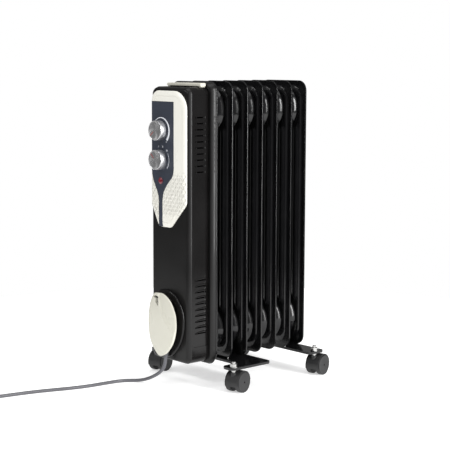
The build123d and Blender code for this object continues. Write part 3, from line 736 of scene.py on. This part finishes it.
def build_knob(name, z, pointer_angle):
    """A dial with a plain silver side, a spun face with a raised lip and a red pointer."""
    body = f"{name}_dial"
    y = KNOB_FACE_Y
    side = [
        (19.3, y + 0.7), (20.1, y + 1.2), (20.4, y + 2.0), (20.6, y + 12.0), (20.6, y + 15.4),
        (20.2, y + 16.3), (18.8, y + 16.4),
    ]
    centre = (CONTROL_X, z)
    shell = piece(f"{name}_shell", *lathe(side, centre, 96), "silver", "knob_plastic", body)
    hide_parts(f"{name}_knob")
    face = [
        (20.1, y + 1.3), (20.1, y + 0.6), (19.7, y + 0.15), (19.0, y), (18.6, y + 0.25),
        (0.4, y + 0.25),
    ]
    cap = piece(f"{name}_face", *lathe(face, centre, 96), "spun", "knob_metal", body)
    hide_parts(f"{name}_knob_cap")
    angle = math.radians(pointer_angle)
    ray = Vector((math.cos(angle), math.sin(angle)))
    across = Vector((-ray.y, ray.x))
    corners = [
        ray * 4.5 - across * 0.55, ray * 17.8 - across * 0.75,
        ray * 17.8 + across * 0.75, ray * 4.5 + across * 0.55,
    ]
    outline = [(CONTROL_X + c.x, z + c.y) for c in corners]
    mark = piece(f"{name}_pointer", *prism(outline, y + 0.05, y + 0.4), "pointer", "lens_red", body)
    bevel(mark, 0.1, 1)


def printed_arc(name, centre, start, stop, inner, outer_start, outer_stop):
    """A printed band that widens along its sweep."""
    steps = 40
    rows = []
    for index in range(steps + 1):
        t = index / steps
        angle = math.radians(start + (stop - start) * t)
        outer = outer_start + (outer_stop - outer_start) * t
        rows.append((math.cos(angle), math.sin(angle), inner, outer))
    outline = [(centre[0] + i * c, centre[1] + i * s) for c, s, i, o in rows]
    outline += [(centre[0] + o * c, centre[1] + o * s) for c, s, i, o in rows[::-1]]
    return piece(name, *prism(outline, PRINT_FRONT_Y, PRINT_BACK_Y), "print", "cream_plastic")


def build_prints():
    """Heat scale round the thermostat, step marks and off mark round the selector."""
    centre = (CONTROL_X, THERMOSTAT_Z)
    printed_arc("heat_scale", centre, 130, -45, 25.0, 25.9, 30.0)
    printed_arc("low_mark", centre, -50.5, -54, 28.4, 30.4, 30.4)
    centre = (CONTROL_X, SELECTOR_Z)
    printed_arc("selector_scale", centre, 32, -40, 26.0, 26.5, 27.2)
    for strokes, angle in ((1, 106), (2, 77), (3, 44.5)):
        ray = math.radians(angle)
        for index in range(strokes):
            x = CONTROL_X + 27.5 * math.cos(ray) + (index - (strokes - 1) / 2) * 1.5
            z = SELECTOR_Z + 27.5 * math.sin(ray)
            outline = [
                (x - 0.35, z - 1.8), (x + 0.35, z - 1.8), (x + 0.35, z + 1.8), (x - 0.35, z + 1.8),
            ]
            stroke = prism(outline, PRINT_FRONT_Y, PRINT_BACK_Y)
            piece(f"step_{strokes}_{index}", *stroke, "print", "cream_plastic")


# ---- winder -------------------------------------------------------------
def winder_outline(growth=0.0):
    """Leaf outline of the winder cover."""
    points = [
        (-25, 198.5), (-12, 199.6), (1, 199.5), (16, 193.0), (27, 184.0), (36.5, 170.0),
        (42.5, 153.5), (42.8, 127.0), (33.5, 99.5), (15.0, 77.5), (0, 69.3), (-8, 67.6),
        (-16, 70.5), (-34.0, 89.5), (-42.5, 112.0), (-44.5, 135.5), (-43.0, 156.0), (-39.5, 174.5),
        (-33.5, 188.0),
    ]
    closed = through(points + points[:1], steps=6)[:-1]
    return inset(closed, -growth) if growth else closed


def cover_depth(x, z):
    """Domed face with a low step that sweeps down from the hook to the right edge."""
    dome = COVER_FRONT_Y + 2.6 * ((x / 44.0) ** 2 + ((z - 135.0) / 66.0) ** 2)
    step_x = np.interp(z, [122, 128, 143, 160, 174, 192, 200], [44, 34, 17, 4, -2, -8, -11])
    offset = ease((x - step_x + 1.5) / 3.0)
    crest = np.exp(-((x - step_x + 2.5) / 2.2) ** 2)
    inside = ease((z - 118) / 10.0)
    return dome + inside * (1.9 * offset - 0.8 * crest)


def build_winder():
    """The domed cover with its hook slot, and the flange and core behind it."""
    outline = winder_outline()
    centre = np.array([-2.0, 135.0])
    scales = [
        1.0, 0.995, 0.98, 0.955, 0.92, 0.88, 0.82, 0.75, 0.68, 0.6, 0.52, 0.44, 0.36, 0.28, 0.2,
        0.12, 0.05,
    ]
    points = [(x, COVER_BACK_Y, z) for x, z in outline]
    rim = {1.0: 2.4, 0.995: 1.3, 0.98: 0.5, 0.955: 0.12}
    for scale in scales:
        for x, z in outline:
            px, pz = centre + scale * (np.array([x, z]) - centre)
            y = min(float(cover_depth(px, pz)) + rim.get(scale, 0.0), -178.6)
            points.append((px, y, pz))
    faces = tube_faces(len(scales) + 1, len(outline))
    # painted shade: the cover takes the darker copy of the cream
    cover = piece("winder_cover", points, faces, "plain_cream", "cream_plastic", smooth=60)
    hook = [
        (-27.5, 191.0), (-20, 193.4), (-9.0, 192.5), (-9.2, 171.5), (-18.5, 179.5), (-18.0, 188.0),
        (-24, 188.6),
    ]
    tool = piece("tool", *prism(hook, -190, -170), "dark", "box_black")
    cut(cover, [tool])
    cover.data.set_sharp_from_angle(angle=math.radians(50))
    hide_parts("cord_winder_cover")

    flange = stepped_plate(
        "winder_flange", winder_outline(5.0),
        [(0, -161.0), (0.5, -162.6), (1.6, -163.6), (3.2, -164.0)], BOX_FRONT_Y, "box", "box_black",
    )
    core = [(24 * math.cos(a), 141 + 40 * math.sin(a)) for a in np.linspace(0, 2 * math.pi, 49)[:-1]]
    hub = piece("winder_core", *prism(core, -178.2, -163.5), "box", "box_black")
    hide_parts("cord_winder_base")
    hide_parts("cord_winder_base")


# ---- housing details ----------------------------------------------------
def build_housing_front():
    """Front moulding: its edge draws in slowly, then turns over to the flat face."""
    rings = [
        (0.0, -150.0), (0.5, -151.2), (2.4, -156.0), (3.6, -157.6), (5.6, -158.6), (8.0, -158.95),
        (9.5, BOX_FRONT_Y),
    ]
    outline = rounded_rectangle(59.5, 55.0, 623.0, 16.0)
    front = stepped_plate("front_moulding", outline, rings, -149.0, "satin", "box_black")
    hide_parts("housing_front")


def vent_shade_square(side, z):
    """A thin dark square on the collar's flare, on the left (-1) or the right (1): painted shade in
    place of a vent hole, which is not cut.
    """
    points = []
    for depth in (0.0, 1.2):
        fore, aft = side * (69.4 - depth), side * (70.2 - depth)
        points += [
            (fore, -98.6, z - 1.8), (aft, -96.8, z - 1.8), (aft, -96.8, z + 1.8), (fore, -98.6, z + 1.8),
        ]
    return points, tube_faces(2, 4)


def build_collar():
    """Flared collar that widens from the control box out to the fins' outline."""
    outline = rounded_rectangle(FIN_WIDTH / 2, 48.0, 633.5, FIN_CORNER)
    rings = [
        (1.6, -93.4), (0.0, -93.6), (0.1, -95.0), (4.0, -104.6), (4.9, -105.6), (6.2, -106.0),
        (11.5, -106.0), (11.6, -104.6), (6.0, -104.4), (2.2, -95.0), (1.6, -93.4),
    ]
    points = []
    for amount, y in rings:
        points += [(x, y, z) for x, z in inset(outline, amount)]
    faces = band_faces(len(rings), len(outline))
    collar = piece("flared_collar", points, faces, "satin", "box_black", smooth=30)
    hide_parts("rear_collar")
    # painted shade: matte near-black squares stand for the shade inside the collar's vent holes
    vent_shades = []
    for side in (-1, 1):
        for row in range(VENT_ROWS):
            vent_shades.append(vent_shade_square(side, VENT_Z + row * VENT_STEP + 2))
    piece("collar_vents", *merge(vent_shades), "dark", "box_black")


def build_vents():
    """Small pressed lips at the ends of the upper slots and hooked lower louvres."""
    parts = []
    for side in (-1, 1):
        for row in range(VENT_ROWS):
            z = VENT_Z + row * VENT_STEP + 1.3
            for y, radius in ((-113.0, 2.3), (-118.0, 1.0), (-137.5, 1.2)):
                parts.append(bead(side, y, z, radius))
            parts.append(louvre(side, LOUVRE_Z + row * VENT_STEP))
    piece("vent_lips", *merge(parts), "box", "box_black", smooth=60)


def bead(side, y, z, radius):
    """A half-round bead on the side panel."""
    points = []
    segments = 12
    rings = [(0.3, 1.0), (-0.5, 0.9), (-1.1, 0.6), (-1.4, 0.2)]
    for out, scale in rings:
        for index in range(segments):
            angle = 2 * math.pi * index / segments
            points.append((
                side * (SIDE_PANEL_X - out),
                y + radius * 1.3 * scale * math.cos(angle),
                z + radius * scale * math.sin(angle),
            ))
    return points, tube_faces(len(rings), segments)


def louvre(side, z):
    """An eyelid louvre: a lip that bulges out above the slot and hooks down at the rear."""
    spine = [
        (-139.0, 1.6), (-132.0, 3.0), (-122.0, 3.4), (-115.5, 4.4), (-112.4, 7.0), (-111.6, 9.2),
    ]
    section = [(0.2, 3.0), (-0.5, 2.4), (-1.1, 1.2), (-1.2, 0.0), (-0.9, -0.6), (0.2, -0.8)]
    points = []
    for index, (y, rise) in enumerate(spine):
        swell = math.sin(math.pi * (index + 0.6) / (len(spine) + 0.2))
        for out, height in section:
            points.append((
                side * (SIDE_PANEL_X - 0.6 * out * (0.4 + 0.6 * swell)),
                y,
                z + rise + height * (0.45 + 0.55 * swell),
            ))
    return points, tube_faces(len(spine), len(section))


def build_handle():
    """Slim carrying strap with a soft top edge, a little thicker to the right."""
    points = []
    spine = np.linspace(-STRAP_HALF, STRAP_HALF, 25)
    section = [
        (-7.2, 0.0), (-7.2, 4.6), (-6.4, 5.8), (-4.5, 6.4), (4.5, 6.4), (6.4, 5.8), (7.2, 4.6),
        (7.2, 0.0),
    ]
    for x in spine:
        crown = 0.35 * (1 - (x / STRAP_HALF) ** 2)
        taper = 1 - 0.10 * (STRAP_HALF - x) / (2 * STRAP_HALF)
        for dy, dz in section:
            points.append((x, -114.75 + dy, 624.6 + dz * taper + crown * (dz > 4)))
    faces = tube_faces(len(spine), len(section))
    # painted shade: the strap and its feet take the darker copy of the cream
    strap = piece("grip_strap", points, faces, "plain_cream", "cream_plastic", smooth=50)
    bevel(strap, 0.8, 3)
    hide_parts("handle")
    for name, side in (("left", -1), ("right", 1)):
        foot = [(side * 46, 622.6), (side * 52, 622.6), (side * 52, 625.2), (side * 46, 625.2)]
        piece(f"strap_foot_{name}", *prism(foot, -120, -109), "plain_cream", "cream_plastic")


# ---- carried-over CAD nodes ---------------------------------------------
NODE_MATERIALS = {
    "box": ["housing_body", "bottom_cover"],
    "dark": ["handle_cup"],
    "fin": ["front_foot_plate", "rear_foot_plate"],
    "zinc": [
        "caster_stems", "caster_nuts", "caster_washers", "u_bolts", "wing_nuts", "oil_filler_plug",
        "element_flange", "thermal_cutout", "heating_element", "thermostat_shaft", "selector_shaft",
        *[f"caster_axle_{corner}" for corner in CORNERS],
    ],
    "nickel": ["plug_pins"],
    "caster": [
        *[f"caster_hood_{corner}" for corner in CORNERS],
        *[f"caster_wheels_{corner}" for corner in CORNERS],
    ],
    "inside": ["thermostat_unit", "selector_switch", "terminal_block"],
    "vinyl": ["internal_wiring"],
    "lens": ["neon_lamp"],
}


def node_meshes(node):
    """The mesh objects that show one CAD node."""
    return [
        made for made in bpy.data.objects
        if made.type == "MESH" and (made.name == node or made.name.startswith(node + "."))
    ]


def dress_nodes():
    """Give the CAD nodes that stay on show their materials."""
    for material, nodes in NODE_MATERIALS.items():
        for made in [made for node in nodes for made in node_meshes(node)]:
            if not made.material_slots:
                made.data.materials.append(MATERIALS[material])
            for slot in made.material_slots:
                slot.material = MATERIALS[material]


# ---- stage and light ----------------------------------------------------
def build_stage():
    """A round white floor that glows a little, like the photograph's background."""
    surface = Surface("studio_floor", (0.8, 0.8, 0.8), 0.7, specular=0.2)
    surface.vary_color(surface.noise(2, 2), (0.79, 0.79, 0.79), (0.80, 0.80, 0.80))
    surface.shader.inputs["Emission Color"].default_value = (1, 1, 1, 1)
    surface.shader.inputs["Emission Strength"].default_value = FLOOR_GLOW
    mesh = bpy.data.meshes.new("studio_floor")
    sweep = np.linspace(0, 2 * math.pi, 65)[:-1]
    disc = [(FLOOR_RADIUS * math.cos(a), FLOOR_RADIUS * math.sin(a), 0) for a in sweep]
    mesh.from_pydata(disc, [], [tuple(range(len(disc)))])
    mesh.materials.append(surface.material)
    floor = bpy.data.objects.new("studio_floor", mesh)
    bpy.context.collection.objects.link(floor)


def area_light(name, place, target, width, height, watts):
    """A rectangular light that faces its target."""
    data = bpy.data.lights.new(name, "AREA")
    data.shape = "RECTANGLE"
    data.size = width
    data.size_y = height
    data.energy = watts
    lamp = bpy.data.objects.new(name, data)
    lamp.location = place
    aim = Vector(target) - Vector(place)
    lamp.rotation_euler = aim.to_track_quat("-Z", "Y").to_euler()
    bpy.context.collection.objects.link(lamp)


def build_light():
    """A white room that is dimmer in reflections, and four soft boxes."""
    world = bpy.data.worlds.new("studio")
    bpy.context.scene.world = world
    world.use_nodes = True
    nodes = world.node_tree.nodes
    background = nodes["Background"]
    background.inputs["Color"].default_value = (1, 1, 1, 1)
    rays = nodes.new("ShaderNodeLightPath")
    level = nodes.new("ShaderNodeMapRange")
    level.inputs["To Min"].default_value = ROOM_LEVEL
    level.inputs["To Max"].default_value = ROOM_LEVEL_REFLECTED
    world.node_tree.links.new(rays.outputs["Is Glossy Ray"], level.inputs["Value"])
    seen = nodes.new("ShaderNodeMath")
    seen.operation = "MAXIMUM"
    world.node_tree.links.new(level.outputs["Result"], seen.inputs[0])
    world.node_tree.links.new(rays.outputs["Is Camera Ray"], seen.inputs[1])
    world.node_tree.links.new(seen.outputs[0], background.inputs["Strength"])
    bpy.context.scene.view_settings.view_transform = "Standard"
    middle = (0, 0, 0.35)
    area_light("side_box", (1.8, 0.05, 0.9), (0, 0.05, 0.5), 0.28, 1.9, 42)
    area_light("key", (0.5, -2.4, 1.9), middle, 0.6, 0.6, 9)
    area_light("left_box", (-1.3, -2.2, 1.6), middle, 0.4, 0.4, 7)
    area_light("overhead", (0.2, -0.2, 2.6), middle, 1.6, 1.6, 16)


build_camera()
build_cord()
build_gland()
build_fins()
build_panel()
build_lamp()
build_knob("thermostat", THERMOSTAT_Z, 217)
build_knob("selector", SELECTOR_Z, 136)
build_prints()
build_winder()
build_housing_front()
build_collar()
build_vents()
build_handle()
dress_nodes()
build_stage()
build_light()
